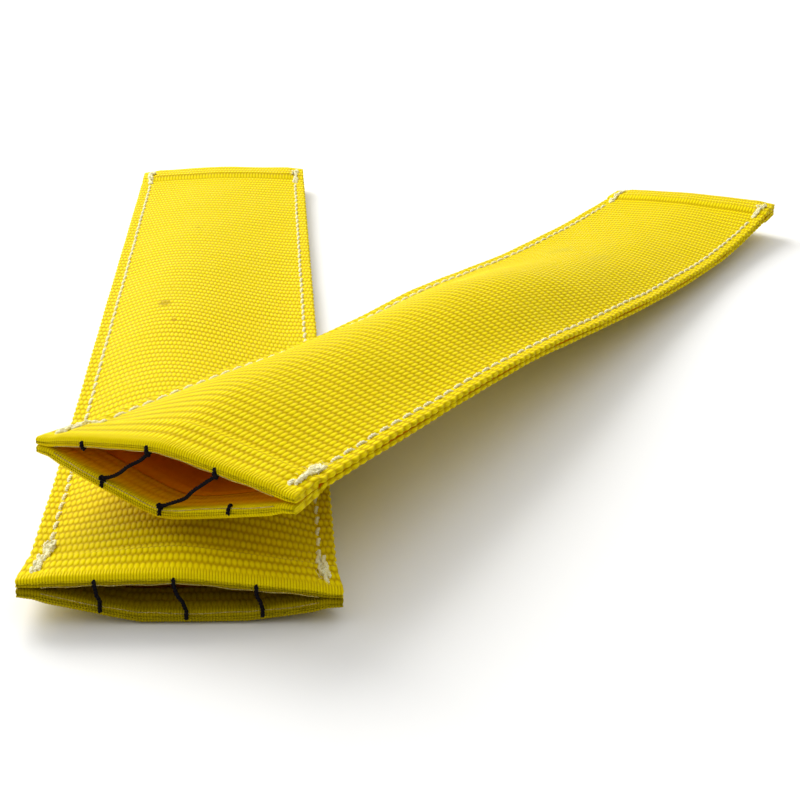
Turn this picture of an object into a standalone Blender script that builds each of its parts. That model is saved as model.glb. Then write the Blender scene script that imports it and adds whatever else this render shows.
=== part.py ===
"""A pair of wear sleeves for a flat web sling, one lying across the other.

Each sleeve is a flat tube of two woven plies, lockstitched along both long edges, with its ends folded in
as hems. Metres, +Z up, with the floor at Z = 0. The origin is under the middle of the lower sleeve, which
runs along +Y from its near mouth to its far mouth.
"""
import math

import bmesh
import bpy
from mathutils import Vector

# Driving dimensions.
SLEEVE_LENGTH = 0.592
HALF_WIDTH = 0.055
PLY = 0.0023
HEM_THICKNESS = 0.0047
HEM_PINCH = 0.0014
HEM_DEPTH = 0.018
HEM_TAPER = 0.005
NOSE_LENGTH = 0.0015
CORNER_FLARE = 0.0018
FLARE_LENGTH = 0.012
GAP = 0.0003
FOLD_AT = 0.330
MOUTH_REACH = 0.060
MOUTH_ROUNDING = 0.10
FLAT_MARGIN = 0.90
PINCH_FROM = 0.80
END_ROUNDING = 0.28

# Thread sizes.
SEAM_INSET = 0.0065
SEAM_WIDTH = 0.0010
SEAM_HEIGHT = 0.0007
TACK_START = 0.005
TACK_LENGTH = 0.026
TACK_WIDTH = 0.0040
TACK_HEIGHT = 0.0010
TACK_LEAN = 0.0030
TACK_FACETS = 4
TACK_CLEAR = 0.001
TIE_RADIUS = 0.0006
FILAMENT_RADIUS = 0.00025
FILAMENT_SPAN = 0.84
FILAMENT_LIFT = 0.35

# Where the panels are cut into flat facets: along half a sleeve, and across it.
SHORTEST_FACET = 0.02
ALONG = (NOSE_LENGTH, HEM_DEPTH, HEM_DEPTH + HEM_TAPER, 0.045, 0.080, 0.120, 0.165, 0.215, 0.270)
ACROSS = (-1.0, -0.95, -0.90, -0.72, -0.54, -0.36, -0.18, 0.0, 0.18, 0.36, 0.54, 0.72, 0.90, 0.95, 1.0)

# One sleeve each. The stations are (distance from the near mouth, height): the seam lines, how far the top
# ply stands above them, and how far the bottom ply hangs below them. The lean's stations hold how far the top
# ply's highest line is shifted to the left. A tie is (end, top, bottom), its two places across the mouth; a
# tick is (face, place), a stitch in one hem that nothing joins.
LOWER = {
    "name": "lower",
    "mouth": Vector((0.0, -SLEEVE_LENGTH / 2, 0.0)),
    "heading": 0.0,
    "length": SLEEVE_LENGTH,
    "left": ((0.0, 0.0140), (0.05, 0.0110), (0.10, 0.0090), (0.30, 0.0080), (0.60, 0.0062)),
    "right": ((0.0, 0.0092), (0.05, 0.0085), (0.10, 0.0082), (0.45, 0.0082), (0.60, 0.0113)),
    "crown": ((0.0, 0.0034), (0.05, 0.0090), (0.09, 0.0158), (0.13, 0.0138), (0.20, 0.0105),
              (0.27, 0.0100), (0.36, 0.0075), (0.45, 0.0050), (0.60, 0.0014)),
    "lean": ((0.0, 0.0), (0.11, 0.0), (0.20, 0.30), (0.35, 0.30), (0.60, 0.0)),
    "sag": ((0.0, 0.0088), (0.05, 0.0088), (0.30, 0.0070), (0.60, 0.0060)),
    "ties": (("near", -0.50, -0.50), ("near", -0.02, 0.02), ("near", 0.48, 0.50),
             ("far", -0.50, -0.50), ("far", 0.0, 0.0), ("far", 0.50, 0.50)),
    "ticks": (),
    "fold_height": 0.0195,
}
UPPER = {
    "name": "upper",
    "mouth": Vector((-0.0086, 0.0265 - SLEEVE_LENGTH / 2, 0.0)),
    "heading": math.radians(33.0),
    "length": 0.596,
    "left": ((0.0, 0.0425), (0.10, 0.0340), (0.20, 0.0235), (0.30, 0.0205), (0.40, 0.0125),
             (0.50, 0.0088), (0.60, 0.0092)),
    "right": ((0.0, 0.0480), (0.10, 0.0435), (0.20, 0.0375), (0.30, 0.0258), (0.40, 0.0158),
              (0.50, 0.0115), (0.60, 0.0175)),
    "crown": ((0.0, 0.0072), (0.05, 0.0135), (0.10, 0.0142), (0.15, 0.0150), (0.20, 0.0170),
              (0.25, 0.0180), (0.30, 0.0155), (0.36, 0.0115), (0.45, 0.0060), (0.60, 0.0014)),
    "lean": ((0.0, 0.0), (0.06, 0.12), (0.20, 0.09), (0.36, -0.08), (0.60, 0.0)),
    "sag": ((0.0, 0.0131), (0.05, 0.0145), (0.10, 0.0130), (0.20, 0.0100), (0.30, 0.0095),
            (0.40, 0.0100), (0.50, 0.0095), (0.60, 0.0065)),
    "ties": (("near", -0.09, -0.45), ("near", 0.42, 0.0),
             ("far", -0.50, -0.50), ("far", 0.0, 0.0), ("far", 0.50, 0.50)),
    "ticks": (("top", -0.60), ("bottom", 0.52)),
    "fold_height": 0.0380,
}


def station_value(stations, s):
    """The smooth curve through the stations, at distance s."""
    last = len(stations) - 2
    i = max(k for k in range(last + 1) if k == 0 or stations[k][0] <= s)
    (s0, v0), (s1, v1) = stations[i], stations[i + 1]
    before = stations[max(i - 1, 0)]
    after = stations[min(i + 2, last + 1)]
    slope0 = (v1 - before[1]) / (s1 - before[0])
    slope1 = (after[1] - v0) / (after[0] - s0)
    h = s1 - s0
    t = (s - s0) / h
    rise = (3 - 2 * t) * t * t
    return (v0 * (1 - rise) + v1 * rise + h * slope0 * t * (1 - t) ** 2 - h * slope1 * t * t * (1 - t))


def bulge(s, length, u):
    """How much of the full bulge a ply has at u across: a tent at a mouth, a soft lens further in."""
    v = min(abs(u) / FLAT_MARGIN, 1.0)
    rounded = math.hypot(v, MOUTH_ROUNDING)
    tent = (math.hypot(1.0, MOUTH_ROUNDING) - rounded) / (math.hypot(1.0, MOUTH_ROUNDING) - MOUTH_ROUNDING)
    lens = (1 - v * v) ** 1.5
    from_mouth = min(s, length - s)
    share = math.exp(-max(from_mouth, 0.0) / MOUTH_REACH)
    return share * tent + (1 - share) * lens


def thickness(s, length, u):
    """One ply along the tube, two where its end is folded in, pinched thinner at the seams."""
    from_mouth = min(s, length - s)
    t = min(max((from_mouth - HEM_DEPTH) / HEM_TAPER, 0.0), 1.0)
    pinch = min(max((abs(u) - PINCH_FROM) / (1 - PINCH_FROM), 0.0), 1.0)
    hem = HEM_THICKNESS - HEM_PINCH * pinch
    return hem + (PLY - hem) * t


def place(sleeve, s, u, z):
    """The world point at distance s along a sleeve and share u of its half width."""
    half = HALF_WIDTH + CORNER_FLARE * math.exp(-(max(s, 0.0) / FLARE_LENGTH) ** 2)
    sine, cosine = math.sin(sleeve["heading"]), math.cos(sleeve["heading"])
    x = sleeve["mouth"].x + s * sine + u * half * cosine
    y = sleeve["mouth"].y + s * cosine - u * half * sine
    return Vector((x, y, z))


def heights(sleeve, face, s, u):
    """The heights of a ply's outer and inner faces. The bottom ply lies flat where it meets the floor."""
    length = sleeve["length"]
    inside = min(max(s, 0.0), length)
    left = station_value(sleeve["left"], inside)
    right = station_value(sleeve["right"], inside)
    seam = (left + right) / 2 + u * (right - left) / 2
    ply = thickness(inside, length, u)
    if face == "top":
        shifted = u + station_value(sleeve["lean"], inside) * (1 - u * u)
        inner = seam + GAP / 2 + station_value(sleeve["crown"], inside) * bulge(inside, length, shifted)
        return inner + ply, inner
    sag = station_value(sleeve["sag"], inside) * bulge(inside, length, u)
    outer = max(seam - GAP / 2 - ply - sag, 0.0)
    return outer, outer + ply


def add_object(name, bm, sleeve, part, material):
    """Add one named object from a bmesh in world coordinates, hung from its body's empty."""
    parent = bodies[sleeve["name"] + "_" + part]
    bmesh.ops.translate(bm, verts=bm.verts, vec=-parent.location)
    bmesh.ops.recalc_face_normals(bm, faces=bm.faces)
    mesh = bpy.data.meshes.new(name)
    bm.to_mesh(mesh)
    bm.free()
    mesh.materials.append(material)
    obj = bpy.data.objects.new(name, mesh)
    bpy.context.collection.objects.link(obj)
    obj.parent = parent


def loft(rings):
    """A closed bmesh through rings of equal length, capped at both ends."""
    bm = bmesh.new()
    loops = [[bm.verts.new(point) for point in ring] for ring in rings]
    for a, b in zip(loops, loops[1:]):
        for i in range(len(a)):
            j = (i + 1) % len(a)
            bm.faces.new((a[i], a[j], b[j], b[i]))
    bm.faces.new(reversed(loops[0]))
    bm.faces.new(loops[-1])
    return bm


def panel_stations(sleeve, part):
    """The distances along one half of a sleeve at which its plies have a facet line."""
    if part == "front":
        return [0.0, *ALONG, FOLD_AT - GAP / 2]
    length = sleeve["length"]
    rear = [length - s for s in reversed(ALONG) if length - s > FOLD_AT + SHORTEST_FACET]
    return [FOLD_AT + GAP / 2, *rear, length]


def panel_ring(sleeve, face, s):
    """The outline of a ply's cross-section at s: its outer face one way, its inner face back."""
    nose = END_ROUNDING if s in (0.0, sleeve["length"]) else 0.0
    outer_side, inner_side = [], []
    for u in ACROSS:
        outer, inner = heights(sleeve, face, s, u)
        outer_side.append(place(sleeve, s, u, outer + (inner - outer) * nose))
        inner_side.append(place(sleeve, s, u, inner + (outer - inner) * nose))
    return outer_side + inner_side[::-1]


def panel_name(sleeve, face, part):
    """The node name of half a ply."""
    return f"{sleeve['name']}_{face}_ply_{part}"


def make_panel(sleeve, face, part):
    """Half of one woven ply, front or rear of the fold line."""
    bm = bmesh.new()
    rings = [panel_ring(sleeve, face, s) for s in panel_stations(sleeve, part)]
    loops = [[bm.verts.new(point) for point in ring] for ring in rings]
    count = len(ACROSS)
    for a, b in zip(loops, loops[1:]):
        for i in range(2 * count):
            j = (i + 1) % (2 * count)
            bm.faces.new((a[i], a[j], b[j], b[i]))
    for loop in (loops[0], loops[-1]):
        for i in range(count - 1):
            bm.faces.new((loop[i], loop[i + 1], loop[2 * count - 2 - i], loop[2 * count - 1 - i]))
    add_object(panel_name(sleeve, face, part), bm, sleeve, part, materials["webbing"])


def facet_height(sleeve, face, s, u):
    """The height of a ply's outer face at u, on the straight line between its facets' corners."""
    i = max(k for k in range(len(ACROSS) - 1) if k == 0 or ACROSS[k] <= u)
    share = (u - ACROSS[i]) / (ACROSS[i + 1] - ACROSS[i])
    before, _ = heights(sleeve, face, s, ACROSS[i])
    after, _ = heights(sleeve, face, s, ACROSS[i + 1])
    return before + share * (after - before)


def surface_strip(sleeve, face, route, width, height):
    """A closed strip that follows a ply's outer face, the usual gap clear of it, along (s, inset, side)."""
    sign = 1 if face == "top" else -1
    rings = []
    for s, inset, side in route:
        ring = []
        for offset, lift in ((-width / 2, GAP), (width / 2, GAP), (width / 2, GAP + height),
                             (-width / 2, GAP + height)):
            u = side * (1 - (inset + offset) / HALF_WIDTH)
            ring.append(place(sleeve, s, u, facet_height(sleeve, face, s, u) + sign * lift))
        rings.append(ring)
    return loft(rings)


def side_sign(side):
    """Left is -1 and right is +1 across the sleeve."""
    return -1 if side == "left" else 1


def make_seam(sleeve, face, side, part):
    """The thread that shows along one seam, on one face: the needle thread on top, the bobbin's below."""
    length = sleeve["length"]
    clear = TACK_START + TACK_LENGTH + TACK_CLEAR
    if part == "front":
        stations = [clear, *[s for s in ALONG if s > clear], FOLD_AT - GAP]
    else:
        rear = [length - s for s in reversed(ALONG) if s > clear and length - s > FOLD_AT + SHORTEST_FACET]
        stations = [FOLD_AT + GAP, *rear, length - clear]
    route = [(s, SEAM_INSET, side_sign(side)) for s in stations]
    bm = surface_strip(sleeve, face, route, SEAM_WIDTH, SEAM_HEIGHT)
    kind = "needle" if face == "top" else "bobbin"
    add_object(f"{sleeve['name']}_{side}_{kind}_thread_{part}", bm, sleeve, part, materials["seam_thread"])


def make_tack(sleeve, side, part):
    """The bar tack that locks a seam's end, leaning in from the edge as it leaves the mouth."""
    length = sleeve["length"]
    route = []
    for step in range(TACK_FACETS + 1):
        share = step / TACK_FACETS
        from_mouth = TACK_START + share * TACK_LENGTH
        s = from_mouth if part == "front" else length - from_mouth
        inset = SEAM_INSET + 2 * TACK_LEAN * share * (1 - share)
        route.append((s, inset, side_sign(side)))
    bm = surface_strip(sleeve, "top", route, TACK_WIDTH, TACK_HEIGHT)
    end = "near" if part == "front" else "far"
    add_object(f"{sleeve['name']}_{side}_bar_tack_{end}", bm, sleeve, part, materials["seam_thread"])


def make_thread(name, sleeve, part, points, radius, material):
    """A round thread through the points, as a bevelled poly curve with filled caps."""
    parent = bodies[sleeve["name"] + "_" + part]
    curve = bpy.data.curves.new(name, "CURVE")
    curve.dimensions = "3D"
    curve.bevel_depth = radius
    curve.bevel_resolution = 1
    curve.use_fill_caps = True
    spline = curve.splines.new("POLY")
    spline.points.add(len(points) - 1)
    for target, point in zip(spline.points, points):
        target.co = (*(point - parent.location), 1.0)
    curve.materials.append(material)
    obj = bpy.data.objects.new(name, curve)
    bpy.context.collection.objects.link(obj)
    obj.parent = parent


def mouth_place(sleeve, end, ahead):
    """The distance along the sleeve of a point that stands ahead of the hem, outside the mouth."""
    return -ahead if end == "near" else sleeve["length"] + ahead


def make_tie(sleeve, number, end, top_u, bottom_u):
    """A tie thread that spans one mouth, from the middle of the top hem to the middle of the bottom hem."""
    ahead = GAP + 2 * FILAMENT_RADIUS + GAP + TIE_RADIUS
    s = mouth_place(sleeve, end, ahead)
    top_outer, top_inner = heights(sleeve, "top", s, top_u)
    bottom_outer, bottom_inner = heights(sleeve, "bottom", s, bottom_u)
    corners = (
        (top_u, (top_outer + top_inner) / 2),
        (top_u, top_inner),
        (bottom_u, bottom_inner),
        (bottom_u, (bottom_outer + bottom_inner) / 2),
    )
    points = [place(sleeve, s, u, z) for u, z in corners]
    part = "front" if end == "near" else "rear"
    make_thread(f"{sleeve['name']}_tie_thread_{end}_{number}", sleeve, part, points, TIE_RADIUS,
                materials["tie_thread"])


def make_tick(sleeve, face, u):
    """One hem stitch of the tie thread, on the near mouth's hem."""
    s = -(GAP + 2 * FILAMENT_RADIUS + GAP + TIE_RADIUS)
    outer, inner = heights(sleeve, face, s, u)
    points = [place(sleeve, s, u, z) for z in (inner, (inner + outer) / 2)]
    make_thread(f"{sleeve['name']}_hem_stitch_{face}", sleeve, "front", points, TIE_RADIUS,
                materials["tie_thread"])


def make_filament(sleeve, face, end):
    """The clear thread that holds a hem, along the inner edge of the folded end."""
    s = mouth_place(sleeve, end, GAP + FILAMENT_RADIUS)
    sign = 1 if face == "top" else -1
    points = []
    for u in ACROSS:
        if abs(u) > FILAMENT_SPAN:
            continue
        _, inner = heights(sleeve, face, s, u)
        points.append(place(sleeve, s, u, inner + sign * HEM_THICKNESS * FILAMENT_LIFT))
    part = "front" if end == "near" else "rear"
    make_thread(f"{sleeve['name']}_{face}_hem_thread_{end}", sleeve, part, points, FILAMENT_RADIUS,
                materials["clear_thread"])


def make_sleeve(sleeve):
    """All the pieces of one sleeve."""
    for part in ("front", "rear"):
        for face in ("top", "bottom"):
            make_panel(sleeve, face, part)
            for side in ("left", "right"):
                make_seam(sleeve, face, side, part)
        for side in ("left", "right"):
            make_tack(sleeve, side, part)
    for end in ("near", "far"):
        for face in ("top", "bottom"):
            make_filament(sleeve, face, end)
        ties = [tie for tie in sleeve["ties"] if tie[0] == end]
        for number, tie in enumerate(ties, 1):
            make_tie(sleeve, number, *tie)
    for face, u in sleeve["ticks"]:
        make_tick(sleeve, face, u)


def make_material(name, colour, roughness, alpha=1.0):
    """A plain material of one finish."""
    material = bpy.data.materials.new(name)
    material.use_nodes = True
    shader = material.node_tree.nodes["Principled BSDF"]
    shader.inputs["Base Color"].default_value = (*colour, 1.0)
    shader.inputs["Roughness"].default_value = roughness
    shader.inputs["Metallic"].default_value = 0.0
    shader.inputs["Alpha"].default_value = alpha
    return material


def make_body(name, location):
    """An empty that a body's pieces hang from, on that body's joint axis."""
    empty = bpy.data.objects.new(name + "_axis", None)
    empty.location = location
    bpy.context.collection.objects.link(empty)
    return empty


def fold_point(sleeve):
    """A point on a sleeve's fold axis, over the middle of the tube."""
    return place(sleeve, FOLD_AT, 0.0, sleeve["fold_height"])


for old in list(bpy.data.objects):
    bpy.data.objects.remove(old, do_unlink=True)

materials = {
    "webbing": make_material("webbing", (0.86, 0.70, 0.02), 0.55),
    "seam_thread": make_material("seam_thread", (0.85, 0.83, 0.72), 0.50),
    "tie_thread": make_material("tie_thread", (0.015, 0.015, 0.025), 0.60),
    "clear_thread": make_material("clear_thread", (0.90, 0.88, 0.70), 0.20, 0.6),
}

bodies = {
    "lower_front": make_body("lower_front", LOWER["mouth"]),
    "lower_rear": make_body("lower_rear", fold_point(LOWER)),
    "upper_front": make_body("upper_front", UPPER["mouth"]),
    "upper_rear": make_body("upper_rear", fold_point(UPPER)),
}

for one_sleeve in (LOWER, UPPER):
    make_sleeve(one_sleeve)
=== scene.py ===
import math
import random

import bpy
import numpy as np
from mathutils import Matrix, Vector


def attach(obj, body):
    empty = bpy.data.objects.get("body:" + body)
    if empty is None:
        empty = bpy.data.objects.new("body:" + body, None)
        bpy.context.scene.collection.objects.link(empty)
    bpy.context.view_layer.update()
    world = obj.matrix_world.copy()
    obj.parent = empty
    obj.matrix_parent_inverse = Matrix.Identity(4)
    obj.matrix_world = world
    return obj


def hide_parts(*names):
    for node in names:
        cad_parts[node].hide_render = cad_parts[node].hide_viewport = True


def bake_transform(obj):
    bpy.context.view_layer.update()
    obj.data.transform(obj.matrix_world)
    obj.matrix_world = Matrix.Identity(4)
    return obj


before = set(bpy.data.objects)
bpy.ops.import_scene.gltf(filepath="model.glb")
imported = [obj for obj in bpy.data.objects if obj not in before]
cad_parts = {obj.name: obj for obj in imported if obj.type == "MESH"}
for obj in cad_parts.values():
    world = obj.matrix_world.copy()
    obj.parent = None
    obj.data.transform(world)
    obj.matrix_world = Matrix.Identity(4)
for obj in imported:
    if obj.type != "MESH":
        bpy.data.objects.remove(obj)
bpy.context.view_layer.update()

# A pair of webbing wear sleeves, one lying across the other. The CAD plies, threads and ties are replaced by
# woven, stitched and twisted ones on the same surfaces. Metres, +Z up.

# The sizes that the CAD model is built from.
SLEEVE_LENGTH = 0.592
HALF_WIDTH = 0.055
PLY = 0.0023
HEM_THICKNESS = 0.0047
HEM_PINCH = 0.0014
HEM_DEPTH = 0.018
HEM_TAPER = 0.005
CORNER_FLARE = 0.0018
FLARE_LENGTH = 0.012
GAP = 0.0003
MOUTH_REACH = 0.060
MOUTH_ROUNDING = 0.10
FLAT_MARGIN = 0.90
PINCH_FROM = 0.80
SEAM_AT = HALF_WIDTH - 0.0065
TACK_START = 0.005
TACK_LENGTH = 0.026
FILAMENT_SPAN = 0.84

# The web's looks: its yarns, its relief, its rolled edges and the unevenness of a web that has been handled.
COLUMN = 0.001
WEAVE_REPEAT = 0.0113
FLOAT_LIFT = 0.00028
FLOAT_ARCH = 1.85
FLOAT_CROWN = 0.5
FLOAT_MIDDLE = 0.7
GRAIN_COUNT = 128
RIB_DEPTH = 0.00008
HEM_RIBS = 0.0040
RIB_BLEND = 0.0025
NOSE = 0.0019
NOSE_ANGLES = (10, 30, 50, 70, 90)
OUTER_EDGE = 0.0535
ROUND_EDGE = 0.0034
EDGE_FADE = 0.0012
RIPPLE_SLOW = 0.00022
RIPPLE_QUICK = 0.00010
RESTS_AT = 0.0004
CHANNEL_DEPTH = 0.00045
CHANNEL_WIDTH = 0.0016
CHANNEL_START = 0.008

# The mesh's steps along and across a ply.
RING_STEP = 0.001614
OUTER_STEP = 0.0005
INNER_COUNT = 30
WALL_COUNT = 7

# The threads' looks.
STITCH_PITCH = 0.009
STITCH_LENGTH = 0.0068
STITCH_RADIUS = 0.00086
STITCH_TWIST = 0.0024
STITCH_RISE = 0.00028
STITCH_SINK = 0.0003
TACK_LAPS = 5
TACK_MARGIN = 0.001
TACK_INSET = 0.0005
TACK_STOP = 0.004
LAP_STEP = 0.0012
FIBRES_PER_LOOP = 6
TIE_RADIUS = 0.00074
TIE_TWIST = 0.0026
TIE_START = 12
TIE_END = -60
LEANING_TIE = 0.1
FILAMENT_RADIUS = 0.00020

# How strongly painted shade darkens the lower sleeve's bottom ply at its hems and its inside near its mouths,
# and how far in from a mouth.
HEM_PAINTED_SHADE = 0.50
HEM_SHADE_REACH = 0.012
INNER_PAINTED_SHADE = 0.62
INNER_SHADE_REACH = 0.045
# How much of the warm inner colour, which is painted bounce light, the turned-in end of a ply has, and where
# that colour starts.
TURNED_IN_SHARE = {"lower": 0.15, "upper": 0.62}
INSIDE_FROM = 0.0015
INSIDE_BLEND = 0.004

# The webbing's colours. The hollows' colour is painted shade and the crests' colour is a painted highlight;
# the inside's orange is painted bounce light, and the darkest colour is painted shade.
HOLLOW_PAINTED_SHADE = (0.55, 0.370, 0.0003)
CREST_PAINTED_HIGHLIGHT = (0.90, 0.745, 0.002)
GOLDEN_FLOAT = (0.76, 0.545, 0.001)
STREAK = (0.73, 0.500, 0.001)
CLOUD = (0.67, 0.550, 0.002)
INSIDE_PAINTED_BOUNCE = (0.95, 0.36, 0.0005)
PAINTED_SHADE_COLOUR = (0.14, 0.090, 0.0008)

# The camera and the floor.
CAMERA_PLACE = (0.0277, -0.7735, 0.2824)
CAMERA_YAW = 0.0946
CAMERA_PITCH = 0.3902
CAMERA_ROLL = 0.0423
CAMERA_LENS = 70.4
FLOOR_SIZE = 40.0
FLOOR_DROP = 0.0002

# Each sleeve's curves have the CAD model's stations: (distance from the near mouth, value).
# A tie is (mouth, place on the top hem, place on the bottom hem) and a tick (hem, place), in half widths.
LOWER = {
    "name": "lower",
    "mouth": (0.0, -SLEEVE_LENGTH / 2),
    "heading": 0.0,
    "length": SLEEVE_LENGTH,
    "left": ((0.0, 0.0140), (0.05, 0.0110), (0.10, 0.0090), (0.30, 0.0080), (0.60, 0.0062)),
    "right": ((0.0, 0.0092), (0.05, 0.0085), (0.10, 0.0082), (0.45, 0.0082), (0.60, 0.0113)),
    "crown": ((0.0, 0.0034), (0.05, 0.0090), (0.09, 0.0158), (0.13, 0.0138), (0.20, 0.0105),
              (0.27, 0.0100), (0.36, 0.0075), (0.45, 0.0050), (0.60, 0.0014)),
    "lean": ((0.0, 0.0), (0.11, 0.0), (0.20, 0.30), (0.35, 0.30), (0.60, 0.0)),
    "sag": ((0.0, 0.0088), (0.05, 0.0088), (0.30, 0.0070), (0.60, 0.0060)),
    "ties": (("near", -0.52, -0.49), ("near", -0.045, 0.03), ("near", 0.455, 0.495),
             ("far", -0.50, -0.50), ("far", 0.0, 0.0), ("far", 0.50, 0.50)),
    "ticks": (),
    "fold_height": 0.0195,
}
UPPER = {
    "name": "upper",
    "mouth": (-0.0086, 0.0265 - SLEEVE_LENGTH / 2),
    "heading": math.radians(33.0),
    "length": 0.596,
    "left": ((0.0, 0.0425), (0.10, 0.0340), (0.20, 0.0235), (0.30, 0.0205), (0.40, 0.0125),
             (0.50, 0.0088), (0.60, 0.0092)),
    "right": ((0.0, 0.0480), (0.10, 0.0435), (0.20, 0.0375), (0.30, 0.0258), (0.40, 0.0158),
              (0.50, 0.0115), (0.60, 0.0175)),
    "crown": ((0.0, 0.0072), (0.05, 0.0135), (0.10, 0.0142), (0.15, 0.0150), (0.20, 0.0170),
              (0.25, 0.0180), (0.30, 0.0155), (0.36, 0.0115), (0.45, 0.0060), (0.60, 0.0014)),
    "lean": ((0.0, 0.0), (0.06, 0.12), (0.20, 0.09), (0.36, -0.08), (0.60, 0.0)),
    "sag": ((0.0, 0.0131), (0.05, 0.0145), (0.10, 0.0130), (0.20, 0.0100), (0.30, 0.0095),
            (0.40, 0.0100), (0.50, 0.0095), (0.60, 0.0065)),
    "ties": (("near", -0.09, -0.45), ("near", 0.42, 0.0),
             ("far", -0.50, -0.50), ("far", 0.0, 0.0), ("far", 0.50, 0.50)),
    "ticks": (("top", -0.60), ("bottom", 0.52)),
    "fold_height": 0.0380,
}

# A tone for each float, repeated over the web.
GRAINS = np.random.RandomState(7).uniform(0.0, 1.0, (GRAIN_COUNT, GRAIN_COUNT))


# ---------------------------------------------------------------- the sleeves' surfaces

def curve_at(stations, s):
    """The smooth curve through the stations, at each distance in s."""
    s = np.asarray(s, float)
    knots = np.array([knot for knot, _ in stations])
    values = np.array([value for _, value in stations])
    last = len(stations) - 2
    i = np.clip(np.searchsorted(knots, s, side="right") - 1, 0, last)
    before = np.maximum(i - 1, 0)
    after = np.minimum(i + 2, last + 1)
    step = knots[i + 1] - knots[i]
    slope0 = (values[i + 1] - values[before]) / (knots[i + 1] - knots[before])
    slope1 = (values[after] - values[i]) / (knots[after] - knots[i])
    t = (s - knots[i]) / step
    rise = (3 - 2 * t) * t * t
    ends = values[i] * (1 - rise) + values[i + 1] * rise
    return ends + step * slope0 * t * (1 - t) ** 2 - step * slope1 * t * t * (1 - t)


def bulge(from_mouth, u):
    """How much of the full bulge a ply has at u across: a tent at a mouth, a soft lens further in."""
    v = np.minimum(np.abs(u) / FLAT_MARGIN, 1.0)
    full = math.hypot(1.0, MOUTH_ROUNDING)
    tent = (full - np.hypot(v, MOUTH_ROUNDING)) / (full - MOUTH_ROUNDING)
    lens = (1 - v * v) ** 1.5
    share = np.exp(-from_mouth / MOUTH_REACH)
    return share * tent + (1 - share) * lens


def distance_from_mouth(sleeve, s):
    """The distance from the nearer mouth, nowhere below 0."""
    return np.maximum(np.minimum(s, sleeve["length"] - s), 0.0)


def ply_faces(sleeve, face, s, q):
    """The heights of a ply's outer and inner faces at distance s along and q across."""
    inside = np.clip(s, 0.0, sleeve["length"])
    from_mouth = distance_from_mouth(sleeve, s)
    u = q / HALF_WIDTH
    left = curve_at(sleeve["left"], inside)
    right = curve_at(sleeve["right"], inside)
    seam = (left + right) / 2 + u * (right - left) / 2
    single = np.clip((from_mouth - HEM_DEPTH) / HEM_TAPER, 0.0, 1.0)
    pinch = np.clip((np.abs(u) - PINCH_FROM) / (1 - PINCH_FROM), 0.0, 1.0)
    hem = HEM_THICKNESS - HEM_PINCH * pinch
    ply = hem + (PLY - hem) * single
    if face == "top":
        shifted = u + curve_at(sleeve["lean"], inside) * (1 - u * u)
        inner = seam + GAP / 2 + curve_at(sleeve["crown"], inside) * bulge(from_mouth, shifted)
        return inner + ply, inner
    sag = curve_at(sleeve["sag"], inside) * bulge(from_mouth, u)
    outer = np.maximum(seam - GAP / 2 - ply - sag, RESTS_AT)
    return outer, outer + ply


def ground_place(sleeve, s, q):
    """The world X and Y at distance s along and q across, with the near mouth's corners flared a little."""
    q = q * (1 + CORNER_FLARE / HALF_WIDTH * np.exp(-(np.maximum(s, 0.0) / FLARE_LENGTH) ** 2))
    sine, cosine = math.sin(sleeve["heading"]), math.cos(sleeve["heading"])
    return sleeve["mouth"][0] + s * sine + q * cosine, sleeve["mouth"][1] + s * cosine - q * sine


def channel(sleeve, s, q):
    """How deep the stitches pull the web in along the seams, deepest at each needle hole."""
    from_seam = (np.abs(q) - SEAM_AT) / CHANNEL_WIDTH
    holes = 0.62 + 0.38 * np.cos(2 * math.pi * s / STITCH_PITCH)
    from_mouth = distance_from_mouth(sleeve, s)
    return CHANNEL_DEPTH * holes * np.exp(-from_seam ** 2) * np.clip(from_mouth / CHANNEL_START, 0.0, 1.0)


def ripple(sleeve, s, q):
    """The slight unevenness of a web that has been handled."""
    turn = 2 * math.pi
    shift = 1.7 if sleeve["name"] == "upper" else 0.0
    slow = np.sin(turn * s / 0.083 + shift) * np.cos(turn * q / 0.071 + 0.8 + shift)
    quick = np.sin(turn * (s + 0.6 * q) / 0.041 + 2.1 * shift) * np.cos(turn * (q - 0.2 * s) / 0.047)
    return RIPPLE_SLOW * slow + RIPPLE_QUICK * quick


def float_share(sleeve, s):
    """How much the floats stand out: not at all round a hem's fold, where only the warp's fine ribs show."""
    from_mouth = distance_from_mouth(sleeve, s)
    t = np.clip((from_mouth - HEM_RIBS) / RIB_BLEND + 0.5, 0.0, 1.0)
    return t * t * (3 - 2 * t)


def weave(sleeve, s, q):
    """The relief of the warp's floats in metres, and each float's own tone from 0 to 1."""
    across = q / COLUMN
    row_at = 2 * s / WEAVE_REPEAT
    even_row = np.abs((row_at + 1) % 2 - 1)
    even_column = np.abs((across + 1) % 2 - 1)
    even_arch = np.sqrt(np.clip(1 - (FLOAT_ARCH * even_row) ** 2, 0.0, 1.0))
    odd_arch = np.sqrt(np.clip(1 - (FLOAT_ARCH * (1 - even_row)) ** 2, 0.0, 1.0))
    even_up = even_arch - FLOAT_CROWN * even_column ** 2
    odd_up = odd_arch - FLOAT_CROWN * (1 - even_column) ** 2
    parity = odd_up > even_up
    row = np.floor((row_at + 1 - parity) / 2).astype(int)
    column = np.floor((across + 1 - parity) / 2).astype(int)
    floats = FLOAT_LIFT * (np.maximum(even_up, odd_up) - FLOAT_MIDDLE)
    ribs = RIB_DEPTH * np.cos(2 * math.pi * across)
    share = float_share(sleeve, s)
    tone = GRAINS[column % GRAIN_COUNT, (2 * row + parity) % GRAIN_COUNT]
    return floats * share + ribs * (1 - share), tone


def outer_sign(face):
    """Which way a ply's outer face looks: up for the top ply, down for the bottom one."""
    return 1.0 if face == "top" else -1.0


def smooth_outer(sleeve, face, s, q):
    """The outer face's height without the weave's relief."""
    outer, _ = ply_faces(sleeve, face, s, q)
    return outer + outer_sign(face) * (ripple(sleeve, s, q) - channel(sleeve, s, q))


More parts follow.
